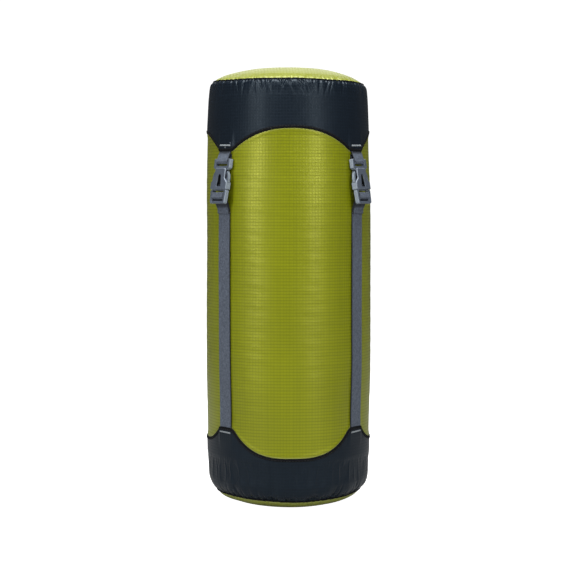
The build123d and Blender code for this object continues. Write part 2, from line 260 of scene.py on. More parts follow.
def grid_faces(rows, columns, close_rows):
    """Quads of a grid whose columns go all the way round."""
    row = np.arange(rows if close_rows else rows - 1)[:, None]
    column = np.arange(columns)[None, :]
    next_row = (row + 1) % rows
    next_column = (column + 1) % columns
    quads = [row * columns + column, row * columns + next_column,
             next_row * columns + next_column, next_row * columns + column]
    return np.stack(np.broadcast_arrays(*quads), axis=-1).reshape(-1, 4)


def shell(name, outer, inner, flat_uv, values=None):
    """A closed piece of cloth from two grids of rows that meet at both of their ends.
    flat_uv gives (u, v) in millimetres for the outer grid's rows and columns."""
    points = np.concatenate([outer, inner[::-1]])
    rows, columns = points.shape[:2]
    faces = grid_faces(rows, columns, True)
    u, v = flat_uv
    back = picked(len(outer), len(inner))[::-1]
    v_all = np.concatenate([v, v[back]])
    u_all = np.concatenate([u, u[back]])
    closing = 2 * u_all[:, -1:] - u_all[:, -2:-1]
    row, column = np.divmod(faces[:, 0], columns)
    u_open = np.concatenate([u_all, closing], axis=1)
    v_open = np.concatenate([v_all, v_all[:, -1:]], axis=1)
    next_row = (row + 1) % rows
    corners = [(row, column), (row, column + 1), (next_row, column + 1), (next_row, column)]
    uv = np.stack([np.stack([u_open[c], v_open[c]], axis=-1) for c in corners], axis=1)
    spread = {k: np.concatenate([d, d[back]]) for k, d in (values or {}).items()}
    rims = np.flatnonzero((row == len(outer) - 1) | (row == rows - 1))
    return finish_mesh(name, points, faces.tolist(), uv, spread, flat_faces=rims)


def disc_shell(name, outer, inner, values=None):
    """A closed round panel whose rows go from the rim to the centre on both sides.
    Its UVs are its plan in millimetres."""
    rows_out, columns = outer.shape[:2]
    points = np.concatenate([outer[:-1], inner[:-1][::-1]]).reshape(-1, 3)
    ring_count = rows_out - 1 + len(inner) - 1
    poles = [outer[-1].mean(axis=0), inner[-1].mean(axis=0)]
    faces = []
    for row in range(ring_count - 1):
        if row != rows_out - 2:
            faces += (grid_faces(2, columns, False) + row * columns).tolist()
    rim = np.arange(columns)
    last = (ring_count - 1) * columns
    nxt = (rim + 1) % columns
    faces += np.stack([rim, nxt, last + nxt, last + rim], axis=1).tolist()
    outer_pole, inner_pole = len(points), len(points) + 1
    edge = (rows_out - 2) * columns
    faces += [[edge + a, edge + b, outer_pole] for a, b in zip(rim, nxt)]
    edge = (rows_out - 1) * columns
    faces += [[edge + a, edge + b, inner_pole] for a, b in zip(rim, nxt)]
    points = np.concatenate([points, poles])
    spread = {}
    for key, data in (values or {}).items():
        back = picked(rows_out - 1, len(inner) - 1)[::-1]
        flat = np.concatenate([data[:-1], data[back]]).ravel()
        spread[key] = np.concatenate([flat, [data[-1, 0], data[-1, 0]]])
    uv = np.concatenate([points[f][:, :2] for f in faces])
    return finish_mesh(name, points, faces, uv, spread)


def tube(name, sections, closed=False, u=None, v=None):
    """A solid from cross-sections of the same number of points. closed joins the last to the first."""
    count, size = sections.shape[:2]
    faces = grid_faces(count, size, closed).tolist()
    u = np.arange(size) if u is None else u
    v = lengths_along(sections.mean(axis=1)) if v is None else v
    u_open = np.append(u, 2 * u[-1] - u[-2])
    v_open = np.append(v, 2 * v[-1] - v[-2])
    uv = []
    for index in range(len(faces)):
        row, column = divmod(index, size)
        for r, c in ((row, column), (row, column + 1), (row + 1, column + 1), (row + 1, column)):
            uv.append((u_open[c], v_open[r]))
    if not closed:
        caps = [list(range(size)), list(range((count - 1) * size, count * size))]
        faces += caps
        uv += [(u[c % size], v[0]) for c in caps[0]] + [(u[c % size], v[-1]) for c in caps[1]]
    return finish_mesh(name, sections, faces, uv)


# The skin of the bag


def scallop_edge(angle, tip, scallops, way):
    """The height of a yoke's edge at each angle: flat at the strap tips and bitten away between them."""
    fine = np.linspace(-pi, pi, 7200, endpoint=False)
    depth = np.zeros_like(fine)
    for middle, side in ((0, "front"), (90, "side"), (180, "front"), (270, "side")):
        half = radians(STRAP_ANGLE if side == "front" else 90 - STRAP_ANGLE) - radians(TIP_HALF_ANGLE)
        share = np.clip(np.abs(wrapped(fine - radians(middle))) / half, 0, 1)
        deepest, power = scallops[side]
        depth += deepest * (1 - share ** power)
    reach = int(3 * TIP_ROUNDING / 360 * len(fine))
    kernel = np.exp(-0.5 * (np.arange(-reach, reach + 1) / (reach / 3)) ** 2)
    kernel /= kernel.sum()
    depth = np.convolve(np.concatenate([depth[-reach:], depth, depth[:reach]]), kernel, "valid")
    return tip + way * np.interp(wrapped(angle), fine, depth, period=tau)


def base_edge(angle):
    return scallop_edge(angle, BASE_TIP, BASE_SCALLOPS, -1)


def lid_edge(angle):
    return scallop_edge(angle, LID_TIP, LID_SCALLOPS, 1)


def random_folds(rng, count, widths, reaches, depths, slant):
    """Folds spaced unevenly round a seam: (angle, width, reach, depth, slant)."""
    at = uneven_turns(rng, count, 0.55, 1.45)
    pick = [rng.uniform(*limits, count) for limits in (widths, reaches, depths, (-slant, slant))]
    return list(zip(at, *pick))


def fold_field(angle, along, folds, rise):
    """How far folds move the cloth, at each angle and distance along from the seam."""
    total = np.zeros(np.broadcast(angle, along).shape)
    for at, width, reach, depth, slant in folds:
        across = wrapped(angle - at) * WALL_RADIUS - slant * along
        total += depth * np.exp(-(across / width) ** 2 - (along / reach) ** 2)
    return total * (rise + (1 - rise) * smooth_step(np.abs(along) / 2.5))


def drift(angle, height):
    """The slow unevenness of a stuffed bag."""
    waves = 0.30 * np.sin(3 * angle + height / 61) + 0.18 * np.sin(5 * angle - height / 37 + 1.3)
    return waves + 0.14 * np.sin(9 * angle + height / 23 + 0.4)


class End:
    """One sewn end of the bag. A place on it is an angle and the distance along the cloth from
    the seam, which is negative over the round panel and positive down the wall."""

    def __init__(self, disc_line, wall_line, disc_folds, wall_folds, saddle=0.0, tilt=0.0):
        disc, wall = smooth_curve(disc_line), smooth_curve(wall_line)
        line = np.vstack([disc[::-1], wall[1:]])
        self.along = lengths_along(line) - lengths_along(disc)[-1]
        self.line = line
        step = directions(line)
        way = 1 if wall[-1, 1] < wall[0, 1] else -1
        self.normal = np.stack([-step[:, 1] * way, step[:, 0] * way], axis=1)
        self.wall = self.along >= 0
        self.way = way
        self.folds = (disc_folds, wall_folds)
        self.disc_length = -self.along[0]
        self.settled = None
        self.saddle, self.tilt = saddle, tilt

    def along_at(self, height):
        heights, along = self.line[self.wall, 1], self.along[self.wall]
        order = np.argsort(heights)
        return np.interp(height, heights[order], along[order])

    def folded(self, angle, along):
        disc_folds, wall_folds = self.folds
        on_disc = fold_field(angle, along, disc_folds, 0.4) * (along < 0)
        on_wall = fold_field(angle, along, wall_folds, 0.4) * (along >= 0)
        return on_disc + on_wall

    def moved(self, angle, along):
        """How far the cloth moves at a place: off its surface, along it away from the seam, and round."""
        off = self.folded(angle, along)
        if self.settled is None:
            return off, 0.0, 0.0
        rows, moves = self.settled
        angle, along = np.broadcast_arrays(angle, along)
        column = angle % tau / tau * moves.shape[1]
        row = np.interp(along, rows, np.arange(len(rows)))
        left, below = np.floor(column).astype(int), np.clip(np.floor(row).astype(int), 0, len(rows) - 2)
        right_share, above_share = (column - left)[..., None], (row - below)[..., None]
        left, right = left % moves.shape[1], (left + 1) % moves.shape[1]
        lower = moves[below, left] * (1 - right_share) + moves[below, right] * right_share
        upper = moves[below + 1, left] * (1 - right_share) + moves[below + 1, right] * right_share
        mixed = lower * (1 - above_share) + upper * above_share
        return mixed[..., 0] + STITCH_PUCKERS * off, mixed[..., 1], mixed[..., 2]

    def shift(self, angle, along):
        return self.moved(angle, along)[0]

    def height_at(self, along):
        return np.interp(along, self.along, self.line[:, 1])

    def place(self, angle, along, lift=0.0):
        off, down, turn = self.moved(angle, along)
        return self.surface(angle + turn / WALL_RADIUS, along + down, off + lift)

    def surface(self, angle, along, lift):
        """A point lifted off the smooth surface, before any fold."""
        radius = np.interp(along, self.along, self.line[:, 0])
        height = self.height_at(along)
        out, up = (np.interp(along, self.along, self.normal[:, k]) for k in (0, 1))
        fade = smooth_step(1 + along / DRIFT_REACH)
        move = lift + fade * drift(angle, height)
        sway = self.saddle * np.cos(2 * angle) + self.tilt * np.sin(angle)
        sway = sway * np.exp(-(along / SWAY_REACH) ** 2)
        return on_circle(angle, radius + out * move, height + up * move + sway)


rng = np.random.default_rng(SEED)
lid_end = End(
    LID_DISC_LINE,
    LID_WALL_LINE,
    random_folds(rng, 84, (1.0, 2.0), (3.0, 7.0), (-0.75, -0.15), 0.3),
    random_folds(rng, 104, (0.8, 1.5), (3.0, 10.0), (-1.1, -0.25), 0.5)
    + random_folds(rng, 22, (3.0, 6.0), (12.0, 26.0), (-0.45, 0.3), 0.4),
    tilt=-1.1,
)
base_end = End(
    BASE_DISC_LINE,
    BASE_WALL_LINE,
    random_folds(rng, 70, (1.2, 2.2), (3.0, 6.0), (-0.6, -0.1), 0.3),
    random_folds(rng, 64, (1.0, 2.0), (5.0, 13.0), (-0.8, -0.15), 0.3)
    + random_folds(rng, 30, (3.0, 6.0), (16.0, 34.0), (-0.9, 0.3), 0.25),
    saddle=-1.6,
)


def simulate(name, start, cut, faces, held):
    """Where cloth settles that starts as one grid of points and was cut as another. held rows stay."""
    mesh = bpy.data.meshes.new(name)
    mesh.from_pydata((start.reshape(-1, 3) * MM).tolist(), [], faces.tolist())
    cloth = add_object(name, mesh)
    cloth.shape_key_add(name="sewn")
    key = cloth.shape_key_add(name="cut")
    key.data.foreach_set("co", (cut * MM).ravel())
    pins = cloth.vertex_groups.new(name="pins")
    columns = start.shape[1]
    pins.add([row * columns + column for row in held for column in range(columns)], 1.0, "REPLACE")

    modifier = cloth.modifiers.new("cloth", "CLOTH")
    settings = modifier.settings
    settings.quality = 6
    settings.mass = 0.12
    settings.tension_stiffness = settings.compression_stiffness = 18
    settings.shear_stiffness = 6
    settings.bending_stiffness = 0.02
    settings.tension_damping = settings.compression_damping = 6
    settings.use_pressure = True
    settings.uniform_pressure_force = SIM_PRESSURE
    settings.effector_weights.gravity = 0
    settings.vertex_group_mass = "pins"
    settings.rest_shape_key = key
    modifier.point_cache.frame_start = 1
    modifier.point_cache.frame_end = SIM_FRAMES
    for frame_number in range(1, SIM_FRAMES + 1):
        bpy.context.scene.frame_set(frame_number)
    result = cloth.evaluated_get(bpy.context.evaluated_depsgraph_get())
    found = np.empty(start.size, np.float32)
    result.data.vertices.foreach_get("co", found)
    bpy.data.objects.remove(cloth)
    bpy.data.meshes.remove(mesh)
    bpy.context.scene.frame_set(1)
    return found.reshape(start.shape) / MM


def settle(name, end, disc_excess, wall_excess, disc_fade, wall_fade):
    """Lets the cloth beside a seam gather by simulation. The cloth was cut longer round than its
    seam holds it, by a share (excess) that fades with distance, and the contents press it out."""
    disc_share = np.linspace(1, 0, SIM_DISC_ROWS, endpoint=False) ** SIM_CROWDING
    disc_rows = -SIM_REACH * disc_fade * disc_share
    wall_rows = SIM_REACH * wall_fade * np.linspace(0, 1, SIM_WALL_ROWS) ** SIM_CROWDING
    along = np.concatenate([disc_rows, wall_rows])
    angle = around(SIM_COLUMNS)[None, :]
    start = end.surface(angle, along[:, None], SIM_SEED_FOLDS * end.folded(angle, along[:, None]))

    fade = np.where(along < 0, 1 + along / disc_fade, 1 - along / wall_fade)
    excess = np.where(along < 0, disc_excess, wall_excess) * smooth_step(fade)
    radius = np.interp(along, end.along, end.line[:, 0]) * (1 + excess)
    run = np.diff(along)
    rise = np.sqrt(np.maximum(run ** 2 - np.diff(radius) ** 2, (0.2 * run) ** 2))
    cut_height = np.concatenate([[0], np.cumsum(rise)])
    cut = on_circle(angle, radius[:, None], cut_height[:, None])

    faces = grid_faces(len(along), SIM_COLUMNS, False)
    if end.way < 0:
        faces = faces[:, ::-1]
    found = simulate(name, start, cut, faces, [0, SIM_DISC_ROWS, len(along) - 1])

    gap = found - end.surface(angle, along[:, None], 0.0)
    out, up = (np.interp(along, end.along, end.normal[:, k])[:, None] for k in (0, 1))
    radial = gap[..., 0] * np.sin(angle) - gap[..., 1] * np.cos(angle)
    moves = np.stack([
        radial * out + gap[..., 2] * up,
        -end.way * (radial * up - gap[..., 2] * out),
        gap[..., 0] * np.cos(angle) + gap[..., 1] * np.sin(angle),
    ], axis=-1)
    moves = np.clip(moves, -SIM_MOST, SIM_MOST)
    moves[..., 0] = np.maximum(moves[..., 0], -SIM_INWARD)
    waves = np.fft.rfft(moves, axis=1)
    end.settled = (along, np.fft.irfft(waves, n=SIM_FINER * SIM_COLUMNS, axis=1) * SIM_FINER)


settle("lid_gathers", lid_end, 0.06, 0.08, 10.0, 10.0)
settle("base_gathers", base_end, 0.05, 0.07, 10.0, 24.0)


def yoke_radius(height):
    """The radius of the yokes' wall, and of the smooth line that joins them."""
    wall = np.vstack([base_end.line[base_end.wall], lid_end.line[lid_end.wall][::-1]])
    return np.interp(height, wall[:, 1], wall[:, 0])


def bag_shift(angle, height):
    """The cloth's movement on the wall between the two ends, shared by every layer there."""
    by_lid = lid_end.shift(angle, lid_end.along_at(height)) * (height > LID_FOLDS_FROM)
    by_base = base_end.shift(angle, base_end.along_at(height)) * (height < BASE_FOLDS_TO)
    return by_lid + by_base + drift(angle, height)


def green_distance(angle, height):
    """How far a point of the bag is from the nearer yoke's edge, negative under a yoke."""
    return np.minimum(height - base_edge(angle), lid_edge(angle) - height)


def bag_radius(angle, height):
    """The bag's wall: held in under the yokes, swelling between them, puffed just beside each edge."""
    clear = green_distance(angle, height)
    under = yoke_radius(height) - UNDER_GAP
    middle = np.interp(height, (LOW_JOIN, HIGH_JOIN), MIDDLE_RADII)
    swell = (middle - under) * smooth_step(clear / 75)
    puff = 0.5 * np.exp(-((clear - 2.6) / 2.0) ** 2)
    ripple = 0.05 * np.sin(height / 2.9 + 2.2 * np.sin(2 * angle) + 1.1 * np.sin(5 * angle + height / 40))
    ripple += 0.045 * np.sin(height / 1.7 + 3 * np.sin(3 * angle + 1))
    for join in (LOW_JOIN, HIGH_JOIN):
        ripple = ripple * smooth_step(np.abs(height - join) / 9)
    return under + swell + puff + ripple * smooth_step(clear / 20) + bag_shift(angle, height)


def tip_bump(angle, height, tip, way):
    """How far a yoke stands out over the webbing sewn under its tips."""
    total = np.zeros(np.broadcast(angle, height).shape)
    for strap in STRAPS.values():
        across = np.abs(wrapped(angle - radians(strap))) * WALL_RADIUS
        flat = np.minimum(across, WEB_WIDTH / 2) ** 2 / (2 * WALL_RADIUS)
        total += (0.8 + 1.1 * flat) * smooth_step((WEB_WIDTH / 2 + 4.5 - across) / 4.5)
    return total * smooth_step(1 - way * (height - tip) / 26)


# Yokes and their trim


def yoke_point(end, tip, angle, along, lift):
    """A point lifted off a yoke's cloth, which stands out over the webbing."""
    height = end.height_at(along)
    return end.place(angle, along, lift + tip_bump(angle, height, tip, end.way))


def yoke(name, end, tip, edge, columns=1100, rows=62, inner_rows=12):
    """A band from the seam to its scalloped edge. Its rows crowd towards the seam, where it puckers."""
    angle = around(columns)[None, :]
    reach = end.along_at(edge(angle))
    share = (np.linspace(0, 1, rows) ** 1.25)[:, None]
    along = 0.4 + share * (reach - 0.4)
    outer = yoke_point(end, tip, angle, along, 0)
    back = picked(rows, inner_rows)
    inner = yoke_point(end, tip, angle, along[back], -CLOTH)
    u = np.broadcast_to(angle * WALL_RADIUS, along.shape)
    return shell(name, outer, inner, (u, along), {"from_seam": along})


def edge_frame(edge, angle, way):
    """A scalloped edge as (arc across, height) and its unit normal into the yoke."""
    height = edge(angle)
    slope = np.gradient(height, angle * WALL_RADIUS)
    size = np.hypot(1, slope)
    return height, -way * slope / size, way / size


def trim_point(end, tip, edge, angle, inward, lift):
    """A point beside a yoke's edge: inward along the cloth from the edge, and lifted off the cloth."""
    height, across, up = edge_frame(edge, angle, end.way)
    moved = angle + inward * across / WALL_RADIUS
    along = end.along_at(height + inward * up)
    return yoke_point(end, tip, moved, along, lift)


def binding(name, end, tip, edge, columns=1080):
    """The tape folded over a yoke's edge."""
    angle = np.linspace(-pi, pi, columns, endpoint=False)
    thick = BINDING_THICK
    section = [(-0.2, -CLOTH - 0.5), (-0.75, -CLOTH - 0.1), (-0.85, -0.3), (-0.7, 0.3), (-0.2, thick),
               (0.7, thick + 0.12), (BINDING - 0.5, thick), (BINDING, 0.3), (BINDING, -0.3),
               (0.3, -CLOTH - 0.5)]
    rows = [trim_point(end, tip, edge, angle, inward, lift) for inward, lift in section]
    widths = np.array([w for w, _ in section])
    return tube(name, np.stack(rows, axis=1), closed=True, u=np.abs(widths),
                v=around(columns) * WALL_RADIUS)


def capsule(start, end, radius, sides=6):
    """Points and faces of a short rounded thread from start to end."""
    start, end = np.array(start, float), np.array(end, float)
    axis = (end - start) / max(np.linalg.norm(end - start), 1e-6)
    side = np.cross(axis, (0.31, 0.52, 0.79))
    side /= np.linalg.norm(side)
    other = np.cross(axis, side)
    turn = around(sides)
    rim = np.outer(np.cos(turn), side) + np.outer(np.sin(turn), other)
    stops = [(start, -0.6, 0.6), (start, 0.2, 1.0), (end, -0.2, 1.0), (end, 0.6, 0.6)]
    rings = [at + axis * radius * push + rim * radius * size for at, push, size in stops]
    points = np.vstack(rings)
    faces = grid_faces(4, sides, False).tolist()
    return points, faces + [list(range(sides)), list(range(3 * sides, 4 * sides))]


def threads(name, ends, radius):
    """Many short threads as one piece."""
    points, faces, used = [], [], 0
    for start, end in ends:
        new_points, new_faces = capsule(start, end, radius)
        points.append(new_points)
        faces += [[used + i for i in face] for face in new_faces]
        used += len(new_points)
    return finish_mesh(name, np.vstack(points), faces)


def binding_stitches(name, end, tip, edge, pitch=3.0, length=2.1, inward=1.35):
    """One row of lockstitch along a binding."""
    fine = np.linspace(-pi, pi, 4320, endpoint=False)
    path = trim_point(end, tip, edge, fine, inward, BINDING_THICK + 0.12)
    path = np.vstack([path, path[:1]])
    run = lengths_along(path)
    starts = np.arange(0, run[-1] - length, pitch)

    def at(distance):
        return np.stack([np.interp(distance, run, path[:, k]) for k in range(3)], axis=-1)

    return threads(name, zip(at(starts), at(starts + length)), 0.19)


def bar_tacks(name, end, tip, height, tails=()):
    """The dense zigzag that sews each strap's webbing to a yoke's tip."""
    half_long, half_tall, pitch = 7.9, 0.6, 0.46
    along = end.along_at(height)
    ends = []
    for number, strap in STRAPS.items():
        middle = radians(strap)
        tilt = 0.03 * (-1) ** number

        def point(across, up, lift):
            angle = np.array(middle + across / WALL_RADIUS)
            return yoke_point(end, tip, angle, np.array(along - end.way * (up + tilt * across)), lift)

        for step in range(int(2 * half_long / pitch)):
            across = -half_long + step * pitch
            lean = 0.35 * (-1) ** step
            tall = half_tall * (1 + 0.15 * sin(2.3 * step + number))
            ends.append((point(across - lean, -tall, 0.15), point(across + lean, tall, 0.15)))
        for up in (-0.35, 0.35):
            ends.append((point(-half_long, up, 0.1), point(half_long, up, 0.1)))
        if number in tails:
            ends.append((point(0.4, -0.6, 0.2), point(0.1, -3.0, 0.25)))
    return threads(name, ends, 0.23)


def piping(name, end, columns=900):
    """The covered cord sewn into a seam. It follows the seam's puckers."""
    angle = around(columns)
    turn = around(10)
    size = PIPING_RADIUS * (1 + 0.06 * np.sin(61 * angle + 2 * np.sin(7 * angle)))
    rows = [end.place(angle, size * cos(t), 0.1 + size * sin(t)) for t in turn]
    return tube(name, np.stack(rows, axis=1), closed=True)


def round_panel(name, end, columns=640, rows=56, inner_rows=14):
    """The round panel inside a seam, puckered at its rim."""
    angle = around(columns)[None, :]
    share = (np.linspace(0, 1, rows) ** 1.5)[:, None]
    along = -0.3 - share * (end.disc_length - 0.3) + 0 * angle
    outer = end.place(angle, along, 0)
    if end.way < 0:
        outer[..., 2] = np.maximum(outer[..., 2], 0)
    back = picked(rows, inner_rows)
    inner = end.place(angle, along[back], -CLOTH - 0.3)
    return disc_shell(name, outer, inner, {"from_seam": -along})


# Bag


def bag_part(name, low, high, rows, columns=520, inner_rows=10):
    """The green wall from one height to another."""
    angle = around(columns)[None, :]
    levels = np.linspace(low, high, rows)
    levels = np.concatenate([[low, low + HARD_EDGE], levels[1:-1], [high - HARD_EDGE, high]])
    height = levels[:, None] + 0 * angle
    outer = on_circle(angle, bag_radius(angle, height), height)
    back = picked(len(levels), inner_rows)
    inner = on_circle(angle, bag_radius(angle, height[back]) - CLOTH, height[back])
    u = np.broadcast_to(angle * WALL_RADIUS, height.shape)
    return shell(name, outer, inner, (u, height), {"from_edge": green_distance(angle, height)})


def seam_strip(name, low, high, rows):
    """The lapped seam that closes the bag's wall down the middle of the back."""
    height = np.linspace(low, high, rows)
    section = [(-4.6, -0.2), (-4.5, 0.45), (-4.0, 0.75), (-1.5, 0.62), (0, 0.7), (1.5, 0.62), (4.0, 0.75),
               (4.5, 0.45), (4.6, -0.2)]
    lines = []
    for across, lift in section:
        angle = pi + across / WALL_RADIUS
        lines.append(on_circle(angle, bag_radius(angle, height) + lift, height))
    return tube(name, np.stack(lines, axis=1), u=np.array([a for a, _ in section]), v=height)


def seam_stitches(name, low, high):
    """Two rows of lockstitch, one down each side of the lapped seam."""
    pitch, length = 3.0, 2.2
    ends = []
    for across in (-3.3, 3.3):
        angle = pi + across / WALL_RADIUS
        for start in np.arange(low + 0.4, high - length, pitch):
            spots = np.array([start, start + length])
            line = on_circle(angle, bag_radius(angle, spots) + 0.78, spots)
            ends.append((line[0], line[1]))
    return threads(name, ends, 0.17)


# Mouth


def mouth_cloth(name, columns=540, rows=64, inner_rows=16):
    """The cloth drawn in over the contents, in pleats that deepen towards the mouth."""
    line = smooth_curve(MOUTH_LINE)
    run = lengths_along(line)
    share = np.linspace(0, 1, rows)
    radius = np.interp(share * run[-1], run, line[:, 0])[:, None]
    height = np.interp(share * run[-1], run, line[:, 1])[:, None]
    angle = around(columns)[None, :]
    local = np.random.default_rng(SEED + 1)
    pleats = np.zeros((1, columns))
    for spot in uneven_turns(local, PLEATS, 0.7, 1.3):
        pleats = pleats + local.uniform(0.6, 1.0) * np.exp(-(wrapped(angle - spot) / 0.045) ** 2)
    inward = smooth_step((78 - radius) / 50)
    swirl = angle + 0.25 * inward ** 2
    fine = 0.25 * np.sin(83 * swirl + 2 * np.sin(7 * angle))
    lift = inward * (1.7 * (pleats - 0.6) + fine)
    outer = on_circle(swirl, radius, height + lift)
    back = picked(rows, inner_rows)
    inner = on_circle(swirl[back], radius[back], (height + lift)[back] - 0.8)
    inner[0] = on_circle(swirl[0], radius[0] - 0.8, height[0])
    u = np.broadcast_to(angle * WALL_RADIUS, lift.shape)
    v = np.broadcast_to((share * run[-1])[:, None], lift.shape)
    return shell(name, outer, inner, (u, v))


def mouth_channel(name, columns=420, sides=18):
    """The gathered hem round the mouth. It stays smooth where the eyelets sit."""
    angle = around(columns)
    calm = np.ones(columns)
    for spot in EYELET_ANGLES:
        calm *= smooth_step((np.abs(wrapped(angle - radians(spot))) - radians(11)) / radians(7))
    ruffle = 0.42 * np.sin(27 * angle + 1.4 * np.sin(5 * angle)) + 0.16 * np.sin(58 * angle)
    turn = around(sides)
    rows = []
    for t in turn:
        size = CHANNEL_SIZE + ruffle * calm * (0.6 + 0.4 * cos(t + 0.4))
        rows.append(on_circle(angle, CHANNEL_RADIUS + size * cos(t), CHANNEL_HEIGHT + size * sin(t)))
    return tube(name, np.stack(rows, axis=1), closed=True, u=turn * CHANNEL_SIZE,
                v=angle * CHANNEL_RADIUS)


# Webbing


def rounded_path(points, radius, per_turn=8, step=2.5):
    """A path through points in the plane with its corners rounded, sampled every step or less."""
    points = [np.array(p, float) for p in points]
    path = [points[0]]
    for before, corner, after in zip(points, points[1:], points[2:]):
        to_before, to_after = before - corner, after - corner
        length_a, length_b = np.linalg.norm(to_before), np.linalg.norm(to_after)
        a, b = to_before / length_a, to_after / length_b
        half = 0.5 * np.arccos(np.clip(a @ b, -1, 1))
        cut = min(radius / max(np.tan(half), 1e-3), 0.48 * length_a, 0.48 * length_b)
        size = cut * np.tan(half)
        middle = corner + (a + b) / np.linalg.norm(a + b) * hypot(cut, size)
        start, end = corner + a * cut - middle, corner + b * cut - middle
        first = atan2(start[1], start[0])
        sweep = wrapped(atan2(end[1], end[0]) - first)
        for turn in first + sweep * np.linspace(0, 1, per_turn):
            path.append(middle + size * np.array([cos(turn), sin(turn)]))
    path.append(points[-1])
    dense = [path[0]]
    for a, b in zip(path, path[1:]):
        pieces = max(1, ceil(np.linalg.norm(b - a) / step))
        dense += [a + (b - a) * k / pieces for k in range(1, pieces + 1)]
    keep = [dense[0]] + [q for p, q in zip(dense, dense[1:]) if np.linalg.norm(q - p) > 0.02]
    return np.array(keep)


def webbing(name, path, strap_angle):
    """Flat ribbed webbing along a path of (outward, height), turned to a strap's angle."""
    step = directions(path)
    normal = np.stack([-step[:, 1], step[:, 0]], axis=1)
    half = WEB_WIDTH / 2
    across = np.linspace(-half, half, 41)
    edge = np.sqrt(np.clip(1 - ((np.abs(across) - half + 0.45) / 0.5).clip(0) ** 2, 0.12, 1))
    ribs = 0.045 * np.cos(tau * across / 1.6) + 0.10 * (np.abs(np.abs(across) - half + 0.8) < 0.45)
    depth = WEB / 2 * edge + ribs * (edge > 0.9)
    x = np.concatenate([across, across[::-1]])
    lift = np.concatenate([depth, -depth[::-1]])
    outward = path[:, :1] + normal[:, :1] * lift
    height = path[:, 1:] + normal[:, 1:] * lift
    turn = radians(strap_angle)
    px = x * cos(turn) + outward * sin(turn)
    py = x * sin(turn) - outward * cos(turn)
    u = np.concatenate([across, 2 * half + across])
    return tube(name, np.stack([px, py, height], axis=-1), u=u, v=lengths_along(path))


def buckle_point(inward, up):
    """A point of the buckle's own frame as (outward, height)."""
    radius, height = BUCKLE_TOP
    return (radius - inward * cos(BUCKLE_TILT) - up * sin(BUCKLE_TILT),
            height - inward * sin(BUCKLE_TILT) + up * cos(BUCKLE_TILT))


def strap_line(strap_angle):
    """The strap's run, from under the base yoke's tip up the bag to the plug."""
    height = np.arange(74, STRAP_TOP + 0.1, 1.6)
    sides = radians(strap_angle) + np.array([-6, 0, 6])[:, None] / WALL_RADIUS
    touching = bag_radius(sides, height[None, :]).max(axis=0)
    window = np.hanning(25)
    padded = np.concatenate([touching[:12][::-1], touching, touching[-12:][::-1]])
    taut = np.convolve(padded, window / window.sum(), "valid")
    outward = taut + WEB / 2 + 0.15
    return np.stack([outward, height], axis=1)


def strap_end_line(start):
    """The strap's end: up behind the plug's bar, over it, and back down to lie on the strap."""
    top = -SOCKET_LENGTH - PLUG_GAP
    bar_top, bar_low = top - 3.9, top - 7.1
    points = [
        (start, STRAP_TOP + 0.3),
        (start + 0.5, STRAP_TOP + 3.4),
        buckle_point(2.1, bar_low + 0.6),
        buckle_point(2.0, bar_top + 0.9),
        buckle_point(-2.0, bar_top + 0.9),
        buckle_point(-2.0, bar_low - 0.8),
        buckle_point(2.6, bar_low - 4.2),
        (start + 1.7, STRAP_TOP + 3.4),
        (start + 1.35, STRAP_TOP - 1.5),
    ]
    return rounded_path(points, 0.7)


def lid_loop_line(strap_angle):
    """The short webbing from under the lid yoke's tip, round the socket's bar and back."""
    inside = float(bag_radius(radians(strap_angle), LID_TIP)) + WEB / 2 + 0.1
    points = [(inside, LID_TIP + 8), (inside + 0.2, LID_TIP - 0.5), buckle_point(-2.1, -2.4),
              buckle_point(-1.2, -4.7), buckle_point(1.9, -4.3), buckle_point(1.9, -1.0),
              (inside - 0.7, LID_TIP - 4.0)]
    return rounded_path(points, 0.7)


# Materials


